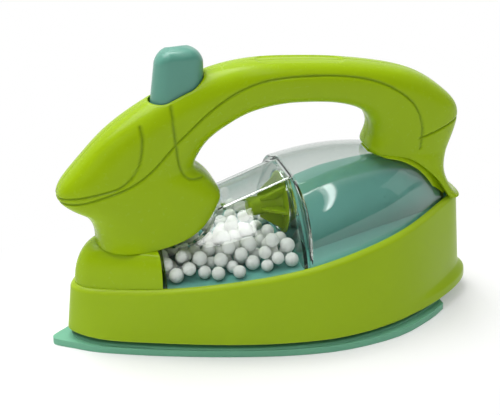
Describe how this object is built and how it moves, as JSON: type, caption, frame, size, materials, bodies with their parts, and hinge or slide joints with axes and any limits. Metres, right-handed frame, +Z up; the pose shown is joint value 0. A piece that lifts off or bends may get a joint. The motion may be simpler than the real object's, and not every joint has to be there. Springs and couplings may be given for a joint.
{
  "type": "toy steam iron",
  "caption": "Toy iron with a wedge base, clear tank of foam beads blown by a fan, looped handle and a sprung push button.",
  "frame": {"origin": "bottom centre of the bounding box, on the plane that the sole rests on", "axes": "+X from the nose to the heel, +Z up from the sole to the handle, +Y across the iron"},
  "size_m": [0.1816, 0.0802, 0.1223],
  "materials": {
    "green_plastic": "gloss",
    "teal_plastic": "gloss",
    "clear_plastic": "clear",
    "foam": "matte",
    "steel": "satin",
    "contact_metal": "satin",
    "cell_wrap": "gloss",
    "white_plastic": "matte",
    "black_plastic": "matte",
    "board": "satin"
  },
  "bodies": {
    "iron": {"sole_plate": "teal_plastic", "battery_door": "teal_plastic", "battery_door_screw": "steel", "battery_cells": "cell_wrap", "battery_contacts": "contact_metal", "sole_screws": "steel", "base_band": "green_plastic", "tank_floor": "teal_plastic", "tank_cover": "clear_plastic", "tank_bulkhead": "clear_plastic", "beads": "foam", "motor_hood": "teal_plastic", "motor_can": "steel", "motor_endcap": "white_plastic", "motor_cradle": "teal_plastic", "front_pedestal": "green_plastic", "handle_left": "green_plastic", "handle_right": "green_plastic", "handle_screws": "steel", "button_spring": "steel", "push_switch": "black_plastic", "switch_board": "board"},
    "fan": {"fan": "green_plastic", "motor_shaft": "steel"},
    "button": {"button": "teal_plastic"}
  },
  "joints": [
    {"name": "button_press", "type": "slide", "parent": "iron", "child": "button", "axis": [0, 0, -1], "range_m": [0, 0.0035], "stiffness_N_per_m": 250, "springref_m": -0.004, "deforming": ["button_spring"]},
    {"name": "fan_spin", "type": "hinge", "parent": "iron", "child": "fan", "pos_m": [0, 0, 0.05016], "axis": [1, 0, 0], "continuous": true}
  ]
}
